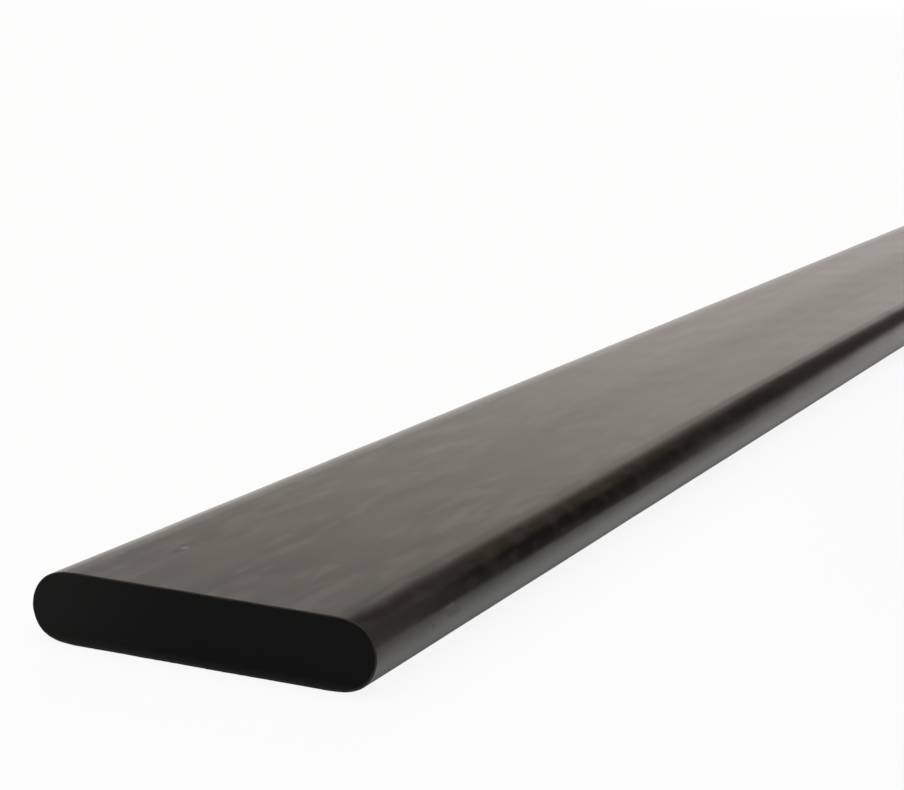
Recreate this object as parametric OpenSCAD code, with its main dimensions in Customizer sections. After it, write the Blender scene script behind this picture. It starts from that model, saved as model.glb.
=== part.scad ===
// Flat strip of pultruded carbon fibre: one solid piece, with full-round long edges and sawn ends.
// X runs along the strip, Y across it and Z up. The origin is the middle of the lower face.
// All sizes are in millimetres.

/* [Strip] */
// Length along X, from one sawn end to the other
strip_length = 1000; // [100:10:3000]
// Width along Y, over both rounded edges
strip_width = 50; // [25:1:100]
// Thickness along Z, between the two flat faces
strip_thickness = 10; // [2:0.5:20]

/* [Sawn ends] */
// Size of the 45 degree bevel sanded round each sawn end
end_bevel = 0.3; // [0.1:0.1:0.8]

/* [Hidden] */
// The long edges are half circles that run from one flat face to the other
edge_radius = strip_thickness / 2;
// Width of the flat faces, between the lines where the half circles begin
flat_width = strip_width - 2 * edge_radius;
half_length = strip_length / 2;
carbon_black = [0.07, 0.068, 0.064];
// Sides of a full circle
$fn = 96;

// Half the strip's side view: each point is its height from the mid-plane and its place along the strip
half_side_view = [
    [0, -half_length],
    [edge_radius - end_bevel, -half_length],
    [edge_radius, end_bevel - half_length],
    [edge_radius, half_length - end_bevel],
    [edge_radius - end_bevel, half_length],
    [0, half_length]
];

// The flat middle, from where one rounded edge begins to where the other does
module flat_middle() {
    rotate([90, 0, 0])
        linear_extrude(height = flat_width, center = true)
            for (side = [0, 1])
                mirror([0, side])
                    polygon([for (point = half_side_view) [point[1], point[0]]]);
}

// The rounded edge on the +Y side: half the side view, turned through a half circle
module rounded_edge() {
    translate([0, flat_width / 2, 0])
        rotate([0, 90, 0])
            rotate_extrude(angle = 180)
                polygon(half_side_view);
}

module strip() {
    color(carbon_black)
        translate([0, 0, edge_radius]) {
            flat_middle();
            for (side = [0, 1])
                mirror([0, side, 0])
                    rounded_edge();
        }
}

strip();
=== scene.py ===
"""A flat strip of pultruded carbon fibre with full-round long edges, lying on a pale studio floor.

The strip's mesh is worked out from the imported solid's own box, and its finishes from its real sizes.
All lengths are metres. X runs along the strip, Y across it and Z up.
"""

import logging
import math
from dataclasses import dataclass, field
from enum import Enum

import bpy
import numpy as np
from mathutils import Matrix, Vector


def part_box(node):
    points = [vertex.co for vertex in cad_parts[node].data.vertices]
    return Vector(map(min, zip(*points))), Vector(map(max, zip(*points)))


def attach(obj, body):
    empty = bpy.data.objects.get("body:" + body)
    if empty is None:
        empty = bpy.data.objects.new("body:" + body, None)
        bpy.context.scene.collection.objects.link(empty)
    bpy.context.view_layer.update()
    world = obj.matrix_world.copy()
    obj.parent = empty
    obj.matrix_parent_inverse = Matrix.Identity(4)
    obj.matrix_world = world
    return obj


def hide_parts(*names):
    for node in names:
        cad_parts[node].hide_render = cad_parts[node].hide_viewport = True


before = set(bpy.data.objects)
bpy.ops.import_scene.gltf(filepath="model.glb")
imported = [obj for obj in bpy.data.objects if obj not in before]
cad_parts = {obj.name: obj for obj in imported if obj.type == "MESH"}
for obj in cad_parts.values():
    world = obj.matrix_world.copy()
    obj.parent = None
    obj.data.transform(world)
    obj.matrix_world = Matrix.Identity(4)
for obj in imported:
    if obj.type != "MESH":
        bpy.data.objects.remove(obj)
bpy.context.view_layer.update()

log = logging.getLogger("carbon_strip")

NODE_NAME = "strip"
BODY_NAME = "root"
# The name of the strip's own map
BAKE_MAP = "OFBake"
MM = 0.001
# Sizes are made to the tenth of a millimetre
SIZE_DIGITS = 4
IMAGE_WIDTH_PX = 904

Socket = bpy.types.NodeSocket
Value = float | Socket
Colour = tuple[float, float, float]
Place = tuple[float, float, float]


class Region(Enum):
    """The strip's differently finished regions, by the number of their material slot."""

    SKIN = 0
    ARRIS = 1
    SAWN = 2


class End(Enum):
    """The two sawn ends, by the side of the strip's middle that they lie on along X."""

    NEAR = -1
    FAR = 1


@dataclass(frozen=True)
class Grain:
    """A soft random pattern: the size of its cells along X, Y and Z, and how it is drawn.

    The detail is the number of finer octaves that are added. The shift moves the pattern, in cells, so that
    two patterns differ, and the turn is the angle in radians that it is turned through about X.
    """

    cell: Place
    detail: float = 1.0
    shift: float = 0.0
    turn: float = 0.0


class NodeGraph:
    """A node tree with short calls that add nodes and link them."""

    def __init__(self, tree: bpy.types.NodeTree) -> None:
        """Empties the tree and keeps it."""
        tree.nodes.clear()
        self.tree = tree

    def add(self, kind: str, inputs: dict[str | int, object], **settings: object) -> bpy.types.Node:
        """Adds one node.

        Args:
            kind: The node's class name.
            inputs: A value or a socket for each input, by its name or number.
            settings: The node's own options.

        Returns:
            The new node.
        """
        made = self.tree.nodes.new(kind)
        for name, value in settings.items():
            setattr(made, name, value)
        for name, value in inputs.items():
            if isinstance(value, Socket):
                self.tree.links.new(value, made.inputs[name])
            else:
                made.inputs[name].default_value = value
        return made

    def math(self, operation: str, *values: Value) -> Socket:
        """Returns the result of one Math node on the given values."""
        return self.add("ShaderNodeMath", dict(enumerate(values)), operation=operation).outputs[0]

    def vector(self, operation: str, *values: object) -> bpy.types.Node:
        """Returns one Vector Math node on the given values."""
        return self.add("ShaderNodeVectorMath", dict(enumerate(values)), operation=operation)

    def mean(self, first: Value, second: Value) -> Socket:
        """Returns the mean of two values."""
        return self.math("MULTIPLY", self.math("ADD", first, second), 0.5)

    def remap(self, value: Socket, source: tuple[Value, Value], target: tuple[Value, Value]) -> Socket:
        """Carries a value from one range to another, easing in and out at its limits.

        Args:
            value: What is carried over.
            source: The values that start and end the range.
            target: What they become.

        Returns:
            The new value.
        """
        inputs = {
            "Value": value,
            "From Min": source[0],
            "From Max": source[1],
            "To Min": target[0],
            "To Max": target[1],
        }
        return self.add("ShaderNodeMapRange", inputs, interpolation_type="SMOOTHSTEP").outputs["Result"]

    def place(self) -> Socket:
        """Returns the place on the piece, in metres."""
        return self.add("ShaderNodeTexCoord", {}).outputs["Object"]

    def axes(self, vector: Socket) -> bpy.types.NodeOutputs:
        """Returns a vector's parts, as outputs named X, Y and Z."""
        return self.add("ShaderNodeSeparateXYZ", {0: vector}).outputs

    def grain(self, pattern: Grain) -> Socket:
        """Draws a soft random pattern on the piece.

        Args:
            pattern: The size of its cells, and how it is drawn.

        Returns:
            The pattern, from 0 to 1 with most of it near a half.
        """
        inputs = {
            "Vector": self.place(),
            "Location": (pattern.shift, pattern.shift, pattern.shift),
            "Rotation": (pattern.turn, 0.0, 0.0),
            "Scale": tuple(1.0 / size for size in pattern.cell),
        }
        mapped = self.add("ShaderNodeMapping", inputs).outputs["Vector"]
        noise = self.add("ShaderNodeTexNoise", {"Vector": mapped, "Scale": 1.0, "Detail": pattern.detail})
        return noise.outputs["Fac"]

    def sway(self, pattern: Socket, swing: Value, level: Value) -> Socket:
        """Lets a level rise and fall by a share of a pattern: level + swing x (pattern - 1/2)."""
        return self.math("MULTIPLY_ADD", self.math("SUBTRACT", pattern, 0.5), swing, level)

    def tint(self, factor: Value, first: object, second: object) -> Socket:
        """Turns one colour into another.

        Args:
            factor: How far it has turned, from 0 to 1.
            first: The colour at 0.
            second: The colour at 1.

        Returns:
            The colour between them.
        """
        mix = self.add("ShaderNodeMix", {"Factor": factor}, data_type="RGBA")
        for name, value in (("A_Color", first), ("B_Color", second)):
            socket = next(s for s in mix.inputs if s.identifier == name)
            if isinstance(value, Socket):
                self.tree.links.new(value, socket)
            else:
                socket.default_value = (*value, 1.0)
        return next(s for s in mix.outputs if s.identifier == "Result_Color")

    def bump(self, height: Socket, depth: float, under: Socket | None = None) -> Socket:
        """Tilts the surface's normals as a fine relief would.

        Args:
            height: The relief's height, from 0 to 1.
            depth: How deep it is from 0 to 1, in metres.
            under: Normals that are already tilted, if there are any.

        Returns:
            The tilted normals.
        """
        inputs = {"Height": height, "Distance": depth, "Strength": 1.0}
        if under is not None:
            inputs["Normal"] = under
        return self.add("ShaderNodeBump", inputs).outputs["Normal"]

    def surface(self, shader: Socket) -> None:
        """Makes a shader the tree's output.

        Args:
            shader: The shader's socket.
        """
        in_world = self.tree.id_data.id_type == "WORLD"
        kind = "ShaderNodeOutputWorld" if in_world else "ShaderNodeOutputMaterial"
        self.add(kind, {"Surface": shader})


def new_material(name: str) -> tuple[bpy.types.Material, NodeGraph]:
    """Makes an empty material.

    Args:
        name: Its name.

    Returns:
        The material, and its graph.
    """
    material = bpy.data.materials.new(name)
    material.use_nodes = True
    return material, NodeGraph(material.node_tree)


@dataclass(frozen=True)
class Mark:
    """A small soft-edged oval mark on the skin, with its half sizes, its colour and its added roughness.

    Its middle is measured along from the near sawn end, across from the strip's middle and up from the
    floor.
    """

    middle: Place
    reach: Place
    colour: Colour
    dullness: float = 0.0
    solid_share: float = 0.5

    def mask(self, graph: NodeGraph, near_end: float) -> Socket:
        """The mark's share at each place.

        Args:
            graph: The skin's graph.
            near_end: Where the near sawn end lies along X.

        Returns:
            1 in the mark's solid share and 0 from its edge on.
        """
        middle = (near_end + self.middle[0], *self.middle[1:])
        offset = graph.vector("SUBTRACT", graph.place(), middle).outputs["Vector"]
        scaled = graph.vector("DIVIDE", offset, self.reach).outputs["Vector"]
        apart = graph.vector("LENGTH", scaled).outputs["Value"]
        return graph.remap(apart, (self.solid_share, 1.0), (1.0, 0.0))


DENT_COLOUR = (0.006, 0.006, 0.006)
SCUFF_COLOUR = (0.004, 0.004, 0.004)
# A pale fleck in the top's resin, with a fainter one beside it and two dull dents
FLECK_MARKS = (
    Mark(middle=(0.0177, 0.0130, 0.010), reach=(0.0011, 0.0010, 0.002), colour=DENT_COLOUR, dullness=0.045),
    Mark(middle=(0.0213, 0.0139, 0.010), reach=(0.0009, 0.0007, 0.002), colour=DENT_COLOUR, dullness=0.045),
    Mark(middle=(0.0213, 0.0121, 0.010), reach=(0.0011, 0.0006, 0.002), colour=(0.030, 0.029, 0.027)),
    Mark(middle=(0.0200, 0.0130, 0.010), reach=(0.0009, 0.0007, 0.002), colour=(0.105, 0.101, 0.095)),
)
# A dull scuff on the near long edge, with a pale line above it and a small spot before it
SCUFF_MARKS = (
    Mark(middle=(0.0248, -0.0248, 0.0064), reach=(0.0022, 0.0012, 0.00035), colour=(0.050, 0.048, 0.045)),
    Mark(middle=(0.0260, -0.025, 0.0052), reach=(0.0036, 0.0012, 0.0005), colour=SCUFF_COLOUR, dullness=0.12),
    Mark(middle=(0.0188, -0.025, 0.0050), reach=(0.0014, 0.001, 0.00045), colour=SCUFF_COLOUR, dullness=0.08),
)


@dataclass(frozen=True)
class SkinPoint:
    """Where a point of the skin lies, from the strip's middle and the floor, and three of its patterns."""

    along: Socket
    across: Socket
    up: Socket
    streak: Socket
    cloud: Socket
    hatch: Socket


@dataclass(frozen=True)
class MouldedSkin:
    """The satin skin that the die leaves: black resin over fibres that run lengthwise.

    Streaks are single tows of fibre, clouds are where the resin lies thicker, and bands are the broad
    stripes that the die's faces leave. Handling left smears, in patches on the flats and as a mottle on the
    rounded edges, fewest at the strip's middle. Near the sawn ends the clouds are stronger and the skin is
    duller. The saw's vice left a fine hatch on the rounded edges there, and dust lies in it on their upper
    halves.
    """

    half_length: float
    half_width: float
    marks: tuple[Mark, ...] = (*FLECK_MARKS, *SCUFF_MARKS)
    resin: Colour = (0.0050, 0.0048, 0.0044)
    fibre: Colour = (0.0092, 0.0089, 0.0082)
    smear_colour: Colour = (0.0350, 0.0335, 0.0311)
    dust_colour: Colour = (0.0400, 0.0382, 0.0356)
    speck_colour: Colour = (0.0800, 0.0770, 0.0710)
    roughness: float = 0.195
    dullest: float = 0.266
    dullest_softness: float = 0.05
    anisotropy: float = 0.35
    anisotropy_turn: float = 0.25
    edge_reach: tuple[float, float] = (0.0055, 0.0025)
    middle_swing: float = 0.025
    middle_reach: float = 0.011
    dulled_swing: float = 0.06
    dulled_reach: float = 0.060
    streaks: Grain = Grain((0.160, 0.0016, 0.0016))
    streak_limits: tuple[float, float] = (0.35, 0.65)
    streak_swing: float = 0.03
    streak_depth: float = 0.0000004
    clouds: Grain = Grain((0.038, 0.0100, 0.0100), shift=17.0)
    cloud_swing: float = 0.02
    handled_swing: float = 0.28
    handled_reach: float = 0.250
    bands: Grain = Grain((0.600, 0.0110, 0.0110), shift=31.0)
    band_swing: float = 0.05
    hatching: Grain = Grain((0.0004, 0.0040, 0.0040), shift=53.0)
    hatch_limits: tuple[float, float] = (0.48, 0.62)
    hatch_swing: float = 0.25
    smearing: Grain = Grain((0.011, 0.0021, 0.0021), detail=2.0, shift=71.0)
    smear_limits: tuple[float, float] = (0.49, 0.61)
    middle_smears: float = 0.4
    mottling: Grain = Grain((0.0056, 0.0024, 0.0024), detail=2.0, shift=89.0)
    mottle_limits: tuple[float, float] = (0.45, 0.66)
    edge_smears: float = 0.38
    dusted_reach: tuple[float, float] = (0.045, 0.010)
    dusted_edge: tuple[float, float] = (0.0030, 0.0012)
    dusted_heights: tuple[float, float] = (0.0054, 0.0068)
    dust_between: float = 0.25
    speck_cell: Place = (0.110, 0.0300, 0.0300)
    speck_size: float = 0.011
    speck_core: float = 0.0044

    @property
    def edge_limits(self) -> tuple[float, float]:
        """How far from the strip's middle a rounded edge's finish starts, and where it is full."""
        start, full = self.edge_reach
        return self.half_width - start, self.half_width - full

    def point(self, graph: NodeGraph) -> SkinPoint:
        """Reads where each point of the skin lies, and draws the patterns that several looks share.

        Args:
            graph: The skin's graph.

        Returns:
            The point's place and patterns.
        """
        axes = graph.axes(graph.place())
        return SkinPoint(
            along=graph.math("ABSOLUTE", axes["X"]),
            across=graph.math("ABSOLUTE", axes["Y"]),
            up=axes["Z"],
            streak=graph.grain(self.streaks),
            cloud=graph.grain(self.clouds),
            hatch=graph.grain(self.hatching),
        )

    def dullness(self, graph: NodeGraph, at: SkinPoint) -> Socket:
        """The roughness: its level, swayed by the patterns and raised towards the middle line and the ends.

        Args:
            graph: The skin's graph.
            at: The point's place and patterns.

        Returns:
            The roughness, eased so that it stays under the dullest value.
        """
        dulled = graph.remap(at.along, (self.half_length - self.dulled_reach, self.half_length), (0.0, 1.0))
        worn = graph.math("MULTIPLY", dulled, graph.remap(at.across, self.edge_limits, (0.0, 1.0)))
        by_cloud = graph.remap(at.cloud, self.hatch_limits, (0.0, self.hatch_swing))
        hatched = graph.math("MULTIPLY", worn, by_cloud)
        handled_limits = (self.half_length - self.handled_reach, self.half_length)
        clouded = graph.remap(at.along, handled_limits, (self.cloud_swing, self.handled_swing))
        middle = graph.remap(at.across, (0.0, self.middle_reach), (self.middle_swing, 0.0))
        rough = graph.sway(at.streak, self.streak_swing, self.roughness)
        rough = graph.sway(at.cloud, clouded, rough)
        rough = graph.sway(graph.grain(self.bands), self.band_swing, rough)
        rough = graph.sway(at.hatch, hatched, rough)
        rough = graph.math("ADD", rough, middle)
        rough = graph.math("MULTIPLY_ADD", dulled, self.dulled_swing, rough)
        return graph.math("SMOOTH_MIN", rough, self.dullest, self.dullest_softness)

    def smears(self, graph: NodeGraph, at: SkinPoint) -> Socket:
        """The share of handling smears: patches on the flats and a mottle on the rounded edges.

        Args:
            graph: The skin's graph.
            at: The point's place and patterns.

        Returns:
            0 where there are none and 1 in the thickest ones.
        """
        patchy = graph.mean(graph.grain(self.smearing), at.cloud)
        on_flat = graph.remap(patchy, self.smear_limits, (0.0, 1.0))
        on_edge = graph.remap(graph.grain(self.mottling), self.mottle_limits, (0.0, self.edge_smears))
        share = graph.remap(at.across, self.edge_limits, (on_flat, on_edge))
        by_length = graph.remap(at.along, (0.0, self.half_length), (self.middle_smears, 1.0))
        return graph.math("MULTIPLY", share, by_length)

    def dust(self, graph: NodeGraph, at: SkinPoint) -> Socket:
        """The share of dust on the upper halves of the rounded edges, near the sawn ends.

        Args:
            graph: The skin's graph.
            at: The point's place and patterns.

        Returns:
            0 where there is none, and more where the hatch holds more of it.
        """
        end_limits = tuple(self.half_length - reach for reach in self.dusted_reach)
        edge_limits = tuple(self.half_width - reach for reach in self.dusted_edge)
        by_end = graph.remap(at.along, end_limits, (0.0, 1.0))
        by_edge = graph.remap(at.across, edge_limits, (0.0, 1.0))
        by_height = graph.remap(at.up, self.dusted_heights, (0.0, 1.0))
        share = graph.math("MULTIPLY", graph.math("MULTIPLY", by_end, by_edge), by_height)
        return graph.math("MULTIPLY", share, graph.math("ADD", at.hatch, self.dust_between))

    def specks(self, graph: NodeGraph) -> Socket:
        """The rare pale specks of dust in the resin.

        Args:
            graph: The skin's graph.

        Returns:
            1 on a speck and 0 elsewhere.
        """
        scaled = graph.vector("DIVIDE", graph.place(), self.speck_cell).outputs["Vector"]
        inputs = {"Vector": scaled, "Scale": 1.0}
        cells = graph.add("ShaderNodeTexVoronoi", inputs, voronoi_dimensions="2D")
        return graph.remap(cells.outputs["Distance"], (self.speck_core, self.speck_size), (1.0, 0.0))

    def material(self) -> bpy.types.Material:
        """Lays the colours over each other, resin and fibre first and marks last, over the dullness.

        Returns:
            The finish as a material.
        """
        material, graph = new_material("moulded_skin")
        at = self.point(graph)
        rough = self.dullness(graph, at)
        colour = graph.tint(graph.remap(at.streak, self.streak_limits, (0.0, 1.0)), self.resin, self.fibre)
        colour = graph.tint(self.smears(graph, at), colour, self.smear_colour)
        colour = graph.tint(self.dust(graph, at), colour, self.dust_colour)
        colour = graph.tint(self.specks(graph), colour, self.speck_colour)
        for mark in self.marks:
            mask = mark.mask(graph, -self.half_length)
            colour = graph.tint(mask, colour, mark.colour)
            rough = graph.math("MULTIPLY_ADD", mask, mark.dullness, rough)
        tangent = graph.add("ShaderNodeTangent", {}, direction_type="UV_MAP", uv_map=BAKE_MAP)
        shader = graph.add(
            "ShaderNodeBsdfPrincipled",
            {
                "Base Color": colour,
                "Roughness": rough,
                "Normal": graph.bump(at.streak, self.streak_depth),
                "Anisotropic": self.anisotropy,
                "Anisotropic Rotation": self.anisotropy_turn,
                "Tangent": tangent.outputs["Tangent"],
            },
        )
        graph.surface(shader.outputs["BSDF"])
        return material


@dataclass(frozen=True)
class SandedArris:
    """The narrow edge round a sawn end, taken off with sandpaper: grey, with short scratches along it."""

    dark: Colour = (0.0060, 0.0058, 0.0055)
    pale: Colour = (0.0160, 0.0155, 0.0148)
    roughness: float = 0.50
    roughness_swing: float = 0.30
    specular: float = 0.30
    scratches: Grain = Grain((0.0002, 0.0015, 0.0015), detail=2.0, shift=5.0)
    scratch_depth: float = 0.000006

    def material(self) -> bpy.types.Material:
        """Draws the scratches and lets them set the colour, the dullness and the relief.

        Returns:
            The finish as a material.
        """
        material, graph = new_material("sanded_arris")
        scratch = graph.grain(self.scratches)
        shader = graph.add(
            "ShaderNodeBsdfPrincipled",
            {
                "Base Color": graph.tint(scratch, self.dark, self.pale),
                "Roughness": graph.sway(scratch, self.roughness_swing, self.roughness),
                "Specular IOR Level": self.specular,
                "Normal": graph.bump(scratch, self.scratch_depth),
            },
        )
        graph.surface(shader.outputs["BSDF"])
        return material


@dataclass(frozen=True)
class SawnFace:
    """A sawn end: dull black fibre ends, with the blade's fine lines leaning across them.

    The blade left dust towards +Y. The lower rim is paler: a painted highlight that stands in for the floor's
    light which the rim catches, flecked by the fibre grain.
    """

    half_width: float
    dark: Colour = (0.0033, 0.0032, 0.0033)
    pale: Colour = (0.0081, 0.0079, 0.0080)
    dusty: Colour = (0.0095, 0.0094, 0.0094)
    # Painted highlight: the paler colour of the lower rim, standing in for the floor's light that the rim
    # catches
    painted_rim_highlight: Colour = (0.0290, 0.0282, 0.0282)
    painted_rim_highlight_reach: float = 0.0016
    roughness: float = 0.78
    roughness_swing: float = 0.25
    specular: float = 0.12
    fibres: Grain = Grain((0.0002, 0.0002, 0.0002), detail=2.0, shift=3.0)
    fibre_depth: float = 0.000010
    lines: Grain = Grain((0.0100, 0.00035, 0.0070), detail=2.0, shift=11.0, turn=math.radians(14.0))
    line_depth: float = 0.000016

    def material(self) -> bpy.types.Material:
        """Lays dust, and a painted highlight along the lower rim, over the sawn fibres' own colours.

        Returns:
            The finish as a material.
        """
        material, graph = new_material("sawn_face")
        fibre = graph.grain(self.fibres)
        line = graph.grain(self.lines)
        axes = graph.axes(graph.place())
        dust = graph.remap(axes["Y"], (0.0, self.half_width), (0.0, 1.0))
        # Painted highlight along the lower rim, as if lit from the floor, flecked by the fibre grain
        painted_rim_highlight_share = graph.math("MULTIPLY", fibre, graph.remap(axes["Z"], (0.0, self.painted_rim_highlight_reach), (1.0, 0.0)))
        colour = graph.tint(graph.math("MULTIPLY", fibre, line), self.dark, self.pale)
        colour = graph.tint(dust, colour, self.dusty)
        shader = graph.add(
            "ShaderNodeBsdfPrincipled",
            {
                "Base Color": graph.tint(painted_rim_highlight_share, colour, self.painted_rim_highlight),
                "Roughness": graph.sway(fibre, self.roughness_swing, self.roughness),
                "Specular IOR Level": self.specular,
                "Normal": graph.bump(fibre, self.fibre_depth, under=graph.bump(line, self.line_depth)),
            },
        )
        graph.surface(shader.outputs["BSDF"])
        return material


@dataclass(frozen=True)
class Waves:
    """Shallow waves in a surface: a sum of sines, each with its own length along, number around and start.

    The lengths and the numbers are drawn between their limits. The depth is the height's root mean square.
    """

    depth: float
    along_lengths: tuple[float, float]
    around_counts: tuple[int, int]
    count: int
    seed: int

    def height(self, along: np.ndarray, around: np.ndarray) -> np.ndarray:
        """The waves' height: the depth x root (2 / count) x the sum of one sine for each wave.

        A wave's sine is sin(2 pi (along / length + number x around) + start).

        Args:
            along: Places along the surface, in metres.
            around: Places round the closed section, as shares of its whole way.

        Returns:
            The heights in metres, about as deep below nought as they are high above it.
        """
        draw = np.random.default_rng(self.seed)
        length = np.exp(draw.uniform(*np.log(self.along_lengths), self.count))
        turns = draw.integers(*self.around_counts, self.count) * draw.choice((-1, 1), self.count)
        start = draw.uniform(0.0, 2.0 * math.pi, self.count)
        total = np.zeros(np.broadcast(along, around).shape)
        for wave in range(self.count):
            total += np.sin(2.0 * math.pi * (along / length[wave] + turns[wave] * around) + start[wave])
        return self.depth * total * math.sqrt(2.0 / self.count)


@dataclass(frozen=True)
class Section:
    """The strip's section: two flats joined by half circles, walked round from the lower flat's middle.

    Each step of the walk has its place across and up, the direction out of the surface there, and the share
    of the whole way round that lies before it.
    """

    width: float
    thickness: float
    flat_steps: int = 96
    arc_steps: int = 44
    shoulder_sink: float = 0.12 * MM
    shoulder_reach: float = 2.7 * MM
    shoulder_shift: float = 1.1 * MM

    @property
    def radius(self) -> float:
        """The radius of the long edges, half the thickness."""
        return self.thickness / 2.0

    @property
    def flat(self) -> float:
        """The width of the flats, between the half circles."""
        return self.width - self.thickness

    @property
    def steps(self) -> int:
        """The number of steps in one walk round."""
        return 2 * (self.flat_steps + self.arc_steps)

    @property
    def near_edge(self) -> int:
        """The step at the outermost point of the -Y edge."""
        return (self.flat_steps + self.arc_steps) // 2

    def walk(self) -> tuple[np.ndarray, np.ndarray, np.ndarray]:
        """Walks once round: along the lower flat to -Y, up, along the upper flat to +Y, down and back.

        A step's middle line point lies on the line that joins the half circles' centres, and the surface
        lies one radius away from it, out along the step's direction.

        Returns:
            The middle line's places across, the directions out as angles from +Y towards +Z, and the
            shares of the way round. Each has one more value than there are steps, because the walk ends
            at its start.
        """
        half_flat = self.flat / 2.0
        flat = np.linspace(-half_flat, half_flat, self.flat_steps + 1)
        half = self.flat_steps // 2
        turn = np.linspace(0.0, math.pi, self.arc_steps + 1)[1:-1]
        lower, upper = -math.pi / 2.0, math.pi / 2.0
        middle = np.concatenate(
            (
                flat[half::-1],
                np.full_like(turn, -half_flat),
                flat,
                np.full_like(turn, half_flat),
                flat[:half - 1:-1],
            )
        )
        out = np.concatenate(
            (
                np.full(half + 1, lower),
                lower - turn,
                np.full(len(flat), upper),
                upper - turn,
                np.full(half + 1, lower),
            )
        )
        places = np.stack((middle + self.radius * np.cos(out), self.radius * np.sin(out)))
        way = np.concatenate(((0.0,), np.cumsum(np.hypot(*np.diff(places)))))
        return middle, out, way / way[-1]

    def shoulders(self, way: np.ndarray) -> np.ndarray:
        """How far the four shoulders sink, where the resin shrank as the flats turn into the round edges.

        With q as the distance from a shoulder's middle in reaches, the sink is its depth x (1 - q squared)
        squared, and nothing beyond one reach.

        Args:
            way: The shares of the way round.

        Returns:
            The sink at each share, in metres.
        """
        arc = math.pi * self.radius
        ahead = self.flat / 2.0 + self.shoulder_shift
        behind = self.flat / 2.0 + arc - self.shoulder_shift
        middles = np.array((ahead, behind, ahead + arc + self.flat, behind + arc + self.flat))
        whole = 2.0 * (self.flat + arc)
        apart = np.abs(way[:, None] * whole - middles) / self.shoulder_reach
        return self.shoulder_sink * (np.clip(1.0 - apart**2, 0.0, 1.0) ** 2).sum(axis=1)


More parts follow.
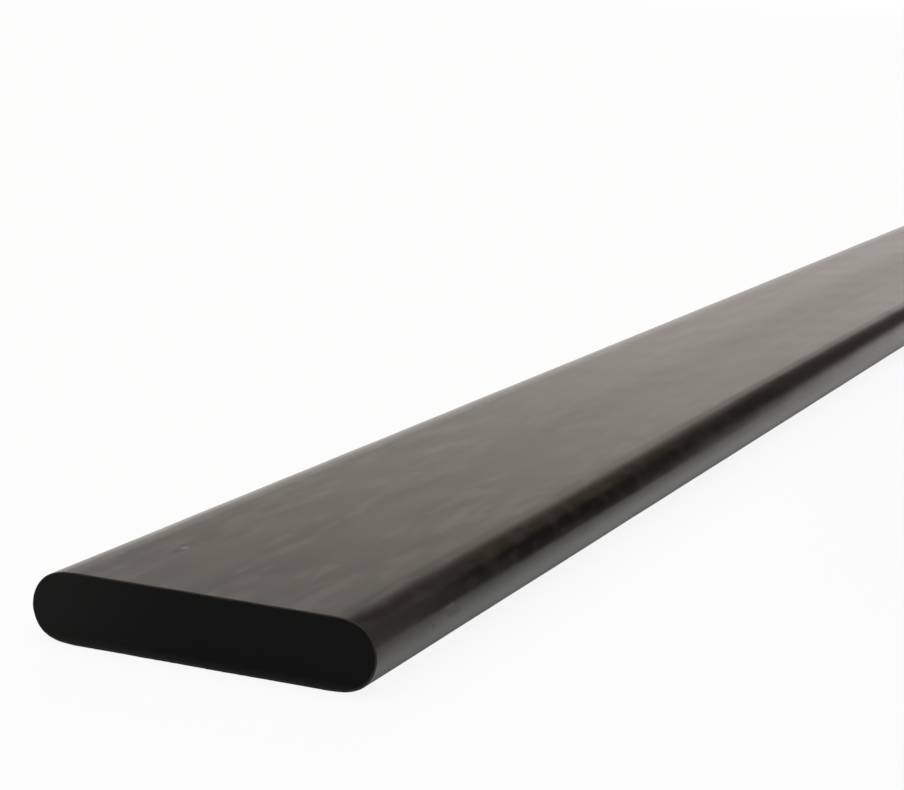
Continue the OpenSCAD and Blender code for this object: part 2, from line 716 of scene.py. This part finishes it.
@dataclass
class CarbonStrip:
    """The strip: one closed skin with a sanded arris and a sawn face at each end."""

    length: float
    width: float
    thickness: float
    arris: float = 0.18 * MM
    arris_growth: float = 1.4
    arris_limits: tuple[float, float] = (0.4, 3.0)
    arris_steps: int = 6
    ring_spacing: float = 3.6 * MM
    end_rings: tuple[float, ...] = (0.04 * MM, 0.30 * MM, 1.00 * MM, 2.20 * MM)
    cap_half_rows: tuple[float, ...] = (0.2, 0.45, 0.7, 0.9, 0.985, 1.0)
    skin_waves: Waves = Waves(
        depth=0.008 * MM, along_lengths=(0.020, 0.160), around_counts=(2, 16), count=40, seed=11
    )
    arris_waves: Waves = Waves(
        depth=0.022 * MM, along_lengths=(1.0, 2.0), around_counts=(7, 110), count=60, seed=23
    )
    saw_waves: Waves = Waves(
        depth=0.006 * MM, along_lengths=(0.0016, 0.0040), around_counts=(0, 1), count=12, seed=37
    )
    map_skin_top: float = 0.90
    map_ends: tuple[float, float] = (0.915, 0.995)
    map_gap: float = 0.005
    section: Section = field(init=False)

    def __post_init__(self) -> None:
        """Works out the section from the sizes."""
        self.section = Section(self.width, self.thickness)

    @property
    def cap_rows(self) -> np.ndarray:
        """The heights of a sawn face's rows, in half heights from its middle, from the lowest up."""
        half = np.array(self.cap_half_rows)
        return np.concatenate((-half[::-1], (0.0,), half))

    @classmethod
    def from_frame(cls, node: str) -> "CarbonStrip":
        """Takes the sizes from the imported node's box.

        Args:
            node: The node's name.

        Returns:
            The strip, in the sizes that it is made to.
        """
        low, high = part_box(node)
        length, width, thickness = (round(size, SIZE_DIGITS) for size in high - low)
        return cls(length, width, thickness)

    def stations(self) -> tuple[np.ndarray, np.ndarray]:
        """Where the rings of the skin stand along one half, and how far each follows the arris's waves.

        Returns:
            The rings' distances from where the skin meets the arris, and the shares.
        """
        reach = self.length / 2.0 - self.arris
        close = np.array((0.0, *self.end_rings))
        count = round((reach - close[-1]) / self.ring_spacing)
        rest = np.linspace(close[-1], reach, count + 1)[1:]
        distance = np.concatenate((close, rest))
        follow = np.clip(1.0 - distance / close[-1], 0.0, 1.0)
        return distance, follow

    def rings(self) -> tuple[np.ndarray, np.ndarray, np.ndarray]:
        """The skin and both arrises as rings of points, from the near end to the far one.

        A ring is the section's walk, set in by its inset, which is the waves' depth and the shoulders' sink.
        On an arris of radius r, which grows with the cube of the way down and which the hand that sanded it
        varied, the ring at angle t from the skin stands r sin t past the skin's end and is set in by
        r (1 - cos t) more.

        Returns:
            The points as rings x steps x 3, the rings' regions between them, and the shares of the way
            round.
        """
        middle, out, way = self.section.walk()
        distance, follow = self.stations()
        angle = np.linspace(math.pi / 2.0, 0.0, self.arris_steps + 1)[:-1, None]
        lowness = (1.0 - np.sin(out[None, :])) / 2.0
        least, most = (share * self.arris for share in self.arris_limits)
        half_rings = []
        half_insets = []
        for end in End:
            radius = self.arris * (1.0 + self.arris_growth * lowness**3)
            radius = radius + self.arris_waves.height(np.float64(end.value), way[None, :])
            radius = np.clip(radius, least, most)
            past = radius * (1.0 - np.sin(angle))
            on_skin = self.arris + distance[:, None] + (radius - self.arris) * follow[:, None]
            half_rings.append(end.value * (self.length / 2.0 - np.concatenate((past, on_skin))))
            half_insets.append(np.concatenate((radius * (1.0 - np.cos(angle)), np.zeros_like(on_skin))))
        near, far = half_rings
        along = np.concatenate((near, far[-2::-1]))
        inset = np.concatenate((half_insets[0], half_insets[1][-2::-1]))
        waves = self.skin_waves.height(along, way[None, :])
        inset = inset + waves - waves.min() + self.section.shoulders(way)
        radius = self.section.radius - inset
        across = middle + radius * np.cos(out)
        up = self.section.radius + radius * np.sin(out)
        skin_rings = 2 * len(distance) - 2
        regions = np.full(len(along) - 1, Region.ARRIS.value)
        regions[self.arris_steps:self.arris_steps + skin_rings] = Region.SKIN.value
        return np.stack((along, across, up), axis=-1), regions, way

    def build(self) -> bpy.types.Object:
        """Makes the strip's mesh and its map.

        Returns:
            The strip as one object at the origin.
        """
        points, regions, way = self.rings()
        ring_count = len(points)
        steps = self.section.steps
        number = np.arange(ring_count * steps).reshape(ring_count, steps)
        closed = np.concatenate((number, number[:, :1]), axis=1)
        skin_faces = grid_faces(closed)
        faces = [skin_faces]
        slots = [np.repeat(regions, steps)]
        vertices = [points[:, :-1].reshape(-1, 3)]
        used = ring_count * steps
        for end in End:
            ring = 0 if end is End.NEAR else ring_count - 1
            cap_points, cap_faces = self.sawn_cap(points[ring, :-1], number[ring], used, end)
            vertices.append(cap_points)
            faces.extend(cap_faces)
            slots.extend(np.full(len(rows), Region.SAWN.value) for rows in cap_faces)
            used += len(cap_points)
        mesh = bpy.data.meshes.new("carbon_strip")
        corners = [face for rows in faces for face in rows.tolist()]
        mesh.from_pydata(np.concatenate(vertices).tolist(), [], corners)
        mesh.polygons.foreach_set("material_index", np.concatenate(slots).astype(np.int32))
        mesh.polygons.foreach_set("use_smooth", np.ones(len(mesh.polygons), bool))
        self.lay_map(mesh, way, len(skin_faces))
        mesh.update()
        strip = bpy.data.objects.new("carbon_strip", mesh)
        bpy.context.scene.collection.objects.link(strip)
        return strip

    def sawn_cap(
        self, rim: np.ndarray, rim_numbers: np.ndarray, first: int, end: End
    ) -> tuple[np.ndarray, list[np.ndarray]]:
        """Closes one end with upright columns that join each upper point of the rim to the one below it.

        A column's points lie at shares of its half height above and below the middle, and the blade's
        waves, which run across the strip, set each one in.

        Args:
            rim: The last ring's points.
            rim_numbers: Their vertex numbers.
            first: The first free vertex number.
            end: Which end it is.

        Returns:
            The new points, and the faces as arrays of four and of three corners.
        """
        columns = self.section.flat_steps + self.section.arc_steps
        step = np.arange(columns + 1)
        upper = (self.section.near_edge + step) % self.section.steps
        lower = (self.section.near_edge - step) % self.section.steps
        share = (self.cap_rows[1:-1, None] + 1.0) / 2.0
        inner = slice(1, -1)
        points = rim[lower[inner]] * (1.0 - share[..., None]) + rim[upper[inner]] * share[..., None]
        saw = self.saw_waves.height(points[..., 1], np.zeros(1))
        points[..., 0] -= end.value * np.maximum(saw - saw.min(), 0.0)
        numbers = np.empty((len(self.cap_rows), columns + 1), int)
        numbers[0] = rim_numbers[lower]
        numbers[-1] = rim_numbers[upper]
        numbers[:, 0] = numbers[0, 0]
        numbers[:, -1] = numbers[0, -1]
        new_shape = points.shape[:2]
        numbers[1:-1, inner] = first + np.arange(math.prod(new_shape)).reshape(new_shape)
        quads = grid_faces(numbers[:, inner].T)
        left = np.stack((numbers[:-1, 0], numbers[:-1, 1], numbers[1:, 1]), axis=-1)
        right = np.stack((numbers[:-1, -2], numbers[:-1, -1], numbers[1:, -2]), axis=-1)
        faces = [quads, left, right]
        if end is End.NEAR:
            faces = [rows[:, ::-1] for rows in faces]
        return points.reshape(-1, 3), faces

    def lay_map(self, mesh: bpy.types.Mesh, way: np.ndarray, skin_count: int) -> None:
        """Lays the surface out on one map: the skin unrolled along its length, the sawn ends beside it.

        On the skin U is the share of the length and V the share of the way round. The two sawn ends are
        seen straight on, one after the other, in the strip of the map that the skin leaves free.

        Args:
            mesh: The strip's mesh.
            way: The shares of the way round.
            skin_count: How many of the first faces belong to the rings.
        """
        end_low, end_high = self.map_ends
        corner_vertex = np.empty(len(mesh.loops), np.int32)
        mesh.loops.foreach_get("vertex_index", corner_vertex)
        places = np.empty(len(mesh.vertices) * 3, np.float32)
        mesh.vertices.foreach_get("co", places)
        corner = places.reshape(-1, 3)[corner_vertex]
        flat = np.empty((len(corner), 2), np.float32)
        skin_corners = 4 * skin_count
        steps = self.section.steps
        on_ring = corner_vertex[:skin_corners].reshape(-1, 4) % steps
        wrapped = (on_ring == 0) & (on_ring.max(axis=1, keepdims=True) == steps - 1)
        share = way[np.where(wrapped, steps, on_ring)].ravel()
        flat[:skin_corners, 0] = corner[:skin_corners, 0] / self.length + 0.5
        flat[:skin_corners, 1] = self.map_skin_top * share
        slots = np.empty(len(mesh.polygons), np.int32)
        mesh.polygons.foreach_get("material_index", slots)
        totals = np.empty(len(mesh.polygons), np.int32)
        mesh.polygons.foreach_get("loop_total", totals)
        at_end = np.repeat(slots, totals) != Region.SKIN.value
        side = np.where(corner[:, 0] < 0.0, 0.0, 0.5) + self.map_gap
        across = corner[:, 1] / self.width + 0.5
        up = corner[:, 2] / self.thickness
        flat[at_end, 0] = (side + across * (0.5 - 2.0 * self.map_gap))[at_end]
        flat[at_end, 1] = (end_low + up * (end_high - end_low))[at_end]
        layer = mesh.uv_layers.new(name=BAKE_MAP)
        layer.uv.foreach_set("vector", flat.ravel())

    def dress(self, strip: bpy.types.Object) -> None:
        """Gives each region of the strip its finish, in the order of their slots.

        Args:
            strip: The strip's object.
        """
        finishes = {
            Region.SKIN: MouldedSkin(self.length / 2.0, self.width / 2.0),
            Region.ARRIS: SandedArris(),
            Region.SAWN: SawnFace(self.width / 2.0),
        }
        for region in Region:
            strip.data.materials.append(finishes[region].material())


def grid_faces(numbers: np.ndarray) -> np.ndarray:
    """Joins a grid of vertex numbers into four-cornered faces, each walked first down and then across."""
    corners = (numbers[:-1, :-1], numbers[1:, :-1], numbers[1:, 1:], numbers[:-1, 1:])
    return np.stack(corners, axis=-1).reshape(-1, 4)


@dataclass(frozen=True)
class StudioFloor:
    """A wide pale floor. It shows white, wholly so far off, and keeps a soft shadow of what lies on it."""

    size: float = 60.0
    drop: float = 0.05 * MM
    pale: Colour = (0.88, 0.88, 0.88)
    roughness: float = 0.16
    ior: float = 1.60
    seen_share: float = 0.90
    seen_fade: tuple[float, float] = (1.5, 8.0)
    mirrored_share: float = 0.06

    def build(self) -> bpy.types.Object:
        """Makes the floor just under the strip.

        Returns:
            The floor, marked as stage.
        """
        edge = np.array((-0.5, 0.5)) * self.size
        across, along = np.meshgrid(edge, edge)
        points = np.stack((across, along, np.full_like(across, -self.drop)), axis=-1).reshape(-1, 3)
        mesh = bpy.data.meshes.new("studio_floor")
        mesh.from_pydata(points.tolist(), [], grid_faces(np.arange(4).reshape(2, 2).T).tolist())
        mesh.materials.append(self.material())
        floor = bpy.data.objects.new("studio_floor", mesh)
        bpy.context.scene.collection.objects.link(floor)
        return floor

    def material(self) -> bpy.types.Material:
        """Mixes a pale satin with plain white, which the camera sees most of and gloss and glass a little.

        Returns:
            The floor's finish as a material.
        """
        material, graph = new_material("studio_floor")
        path = graph.add("ShaderNodeLightPath", {}).outputs
        mirrored = graph.math("MAXIMUM", path["Is Glossy Ray"], path["Is Transmission Ray"])
        mirrored = graph.math("MULTIPLY", mirrored, self.mirrored_share)
        away = graph.vector("LENGTH", graph.place()).outputs["Value"]
        seen = graph.remap(away, self.seen_fade, (self.seen_share, 1.0))
        share = graph.math("MULTIPLY_ADD", path["Is Camera Ray"], seen, mirrored)
        satin = graph.add(
            "ShaderNodeBsdfPrincipled",
            {"Base Color": (*self.pale, 1.0), "Roughness": self.roughness, "IOR": self.ior},
        )
        white = graph.add("ShaderNodeEmission", {"Color": (1.0, 1.0, 1.0, 1.0), "Strength": 1.0})
        mixed = graph.add("ShaderNodeMixShader", {0: share, 1: satin.outputs[0], 2: white.outputs[0]})
        graph.surface(mixed.outputs[0])
        return material


@dataclass(frozen=True)
class DarkScreen:
    """A dark soft-edged oval that stands far off, with its middle's bearing from +X and its height.

    Its lean is how far its long axis is turned from level, and its half sizes are along that axis and
    across it, all in degrees. It fades between two shares of those half sizes, and its colour is what it
    shows. A direction counts as ahead, on the screen's own side, by its dot product with the way to its
    middle.
    """

    bearing: float
    height: float
    lean: float
    half: tuple[float, float]
    fade: tuple[float, float]
    colour: Colour
    ahead_fade: tuple[float, float] = (0.0, 0.3)

    def mask(self, graph: NodeGraph, way: Socket) -> Socket:
        """How much of the view in each direction the screen covers.

        A direction's places along the oval's two axes are its dot products with them, in half sizes. Its
        distance from the middle is the root of the sum of their squares.

        Args:
            graph: The world's graph.
            way: The direction of sight.

        Returns:
            1 on the screen and 0 off it.
        """
        bearing, height, lean = (math.radians(angle) for angle in (self.bearing, self.height, self.lean))
        along, across = (math.sin(math.radians(angle)) for angle in self.half)
        flat = math.cos(height)
        middle = Vector((flat * math.cos(bearing), flat * math.sin(bearing), math.sin(height)))
        level = Vector((-math.sin(bearing), math.cos(bearing), 0.0))
        upright = middle.cross(level)
        long_axis = (math.cos(lean) * level + math.sin(lean) * upright) / along
        short_axis = (math.cos(lean) * upright - math.sin(lean) * level) / across
        first = graph.vector("DOT_PRODUCT", way, tuple(long_axis)).outputs["Value"]
        second = graph.vector("DOT_PRODUCT", way, tuple(short_axis)).outputs["Value"]
        total = graph.math("MULTIPLY_ADD", first, first, graph.math("MULTIPLY", second, second))
        ahead = graph.vector("DOT_PRODUCT", way, tuple(middle)).outputs["Value"]
        oval = graph.remap(graph.math("SQRT", total), self.fade, (1.0, 0.0))
        return graph.math("MULTIPLY", oval, graph.remap(ahead, self.ahead_fade, (0.0, 1.0)))


@dataclass(frozen=True)
class StudioLight:
    """Soft light from all round: pale at the floor's far edge, greyer above it and brighter overhead.

    Dark screens stand far off beyond the far end, so that the near long edge has a dark stripe. They end
    between two bearings, so that the top isn't dark from behind. The camera itself sees white all round.
    """

    stops: tuple[tuple[float, Colour], ...] = (
        (0.00, (0.870, 0.840, 0.835)),
        (0.10, (0.920, 0.852, 0.792)),
        (0.16, (0.740, 0.690, 0.623)),
        (0.215, (0.541, 0.512, 0.449)),
        (0.27, (0.488, 0.460, 0.405)),
        (0.45, (0.449, 0.429, 0.390)),
        (0.80, (1.000, 1.000, 1.000)),
    )
    screens: tuple[DarkScreen, ...] = (
        DarkScreen(
            bearing=-30.0,
            height=31.5,
            lean=29.9,
            half=(52.2, 28.1),
            fade=(0.94, 1.16),
            colour=(0.120, 0.092, 0.063),
        ),
        DarkScreen(
            bearing=-14.6,
            height=15.3,
            lean=-2.4,
            half=(29.2, 6.4),
            fade=(0.88, 1.04),
            colour=(0.012, 0.008, 0.004),
        ),
        DarkScreen(
            bearing=-35.8,
            height=11.9,
            lean=0.0,
            half=(21.3, 24.7),
            fade=(0.92, 1.04),
            colour=(0.001, 0.001, 0.001),
        ),
    )
    screens_end: tuple[float, float] = (-43.0, -35.0)
    seen: Colour = (1.0, 1.0, 1.0)
    lamp_height: float = 1.8
    lamp_size: float = 1.6
    lamp_radiance: float = 1.35

    def build(self) -> None:
        """Sets the world and hangs the lamp."""
        world = bpy.data.worlds.new("studio")
        world.use_nodes = True
        bpy.context.scene.world = world
        graph = NodeGraph(world.node_tree)
        way = graph.add("ShaderNodeTexCoord", {}).outputs["Generated"]
        axes = graph.axes(way)
        ramp = graph.add("ShaderNodeValToRGB", {"Fac": axes["Z"]})
        elements = ramp.color_ramp.elements
        for _ in range(len(self.stops) - len(elements)):
            elements.new(1.0)
        for element, (at, colour) in zip(elements, self.stops):
            element.position = at
            element.color = (*colour, 1.0)
        plain = ramp.outputs["Color"]
        screened = plain
        for screen in self.screens:
            screened = graph.tint(screen.mask(graph, way), screened, screen.colour)
        bearing = graph.math("ARCTAN2", axes["Y"], axes["X"])
        end_limits = tuple(math.radians(angle) for angle in self.screens_end)
        colour = graph.tint(graph.remap(bearing, end_limits, (0.0, 1.0)), plain, screened)
        path = graph.add("ShaderNodeLightPath", {}).outputs
        colour = graph.tint(path["Is Camera Ray"], colour, self.seen)
        background = graph.add("ShaderNodeBackground", {"Color": colour, "Strength": 1.0})
        graph.surface(background.outputs[0])
        self.hang_lamp()

    def hang_lamp(self) -> None:
        """Hangs a square lamp over the strip's middle, facing down. Its power is pi x area x radiance."""
        lamp = bpy.data.lights.new("overhead", "AREA")
        lamp.shape = "SQUARE"
        lamp.size = self.lamp_size
        lamp.energy = math.pi * self.lamp_size**2 * self.lamp_radiance
        hung = bpy.data.objects.new("overhead", lamp)
        hung.location = (0.0, 0.0, self.lamp_height)
        bpy.context.scene.collection.objects.link(hung)


@dataclass(frozen=True)
class ViewingCamera:
    """The camera at the photograph's viewing angle, placed from the near sawn end's lower middle."""

    focal_px: float = 2399.9
    yaw: float = math.radians(21.560)
    pitch: float = math.radians(-10.416)
    roll: float = math.radians(-3.149)
    stand: Place = (-0.26588, -0.13818, 0.09250)
    sensor: float = 36.0
    clip: tuple[float, float] = (0.01, 200.0)

    def build(self, near_end: float) -> None:
        """Makes the scene's camera.

        The view runs at the yaw from +X towards +Y and at the pitch from level, and the picture is turned
        by the roll about it.

        Args:
            near_end: Where the near sawn end lies along X.
        """
        view = Vector(
            (
                math.cos(self.pitch) * math.cos(self.yaw),
                math.cos(self.pitch) * math.sin(self.yaw),
                math.sin(self.pitch),
            )
        )
        right = view.cross(Vector((0.0, 0.0, 1.0))).normalized()
        down = view.cross(right)
        turned_right = math.cos(self.roll) * right + math.sin(self.roll) * down
        turned_down = math.cos(self.roll) * down - math.sin(self.roll) * right
        data = bpy.data.cameras.new("viewing_camera")
        data.sensor_width = self.sensor
        data.lens = self.sensor * self.focal_px / IMAGE_WIDTH_PX
        data.clip_start, data.clip_end = self.clip
        camera = bpy.data.objects.new("viewing_camera", data)
        turn = Matrix((turned_right, -turned_down, -view)).transposed()
        place = Vector(self.stand) + Vector((near_end, 0.0, 0.0))
        camera.matrix_world = Matrix.Translation(place) @ turn.to_4x4()
        bpy.context.scene.collection.objects.link(camera)
        bpy.context.scene.camera = camera


def main() -> None:
    """Builds the strip, the studio and the camera, and reports each piece."""
    logging.basicConfig(level=logging.INFO, format="%(name)s: %(message)s")
    bpy.context.scene.view_settings.view_transform = "Standard"
    stock = CarbonStrip.from_frame(NODE_NAME)
    strip = stock.build()
    stock.dress(strip)
    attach(strip, BODY_NAME)
    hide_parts(NODE_NAME)
    log.info("%s: %d faces, %d finishes", strip.name, len(strip.data.polygons), len(strip.data.materials))
    floor = StudioFloor().build()
    log.info("%s: %.0f m wide", floor.name, StudioFloor.size)
    StudioLight().build()
    ViewingCamera().build(-stock.length / 2.0)
    log.info("light and camera are set")


if __name__ == "__main__":
    main()
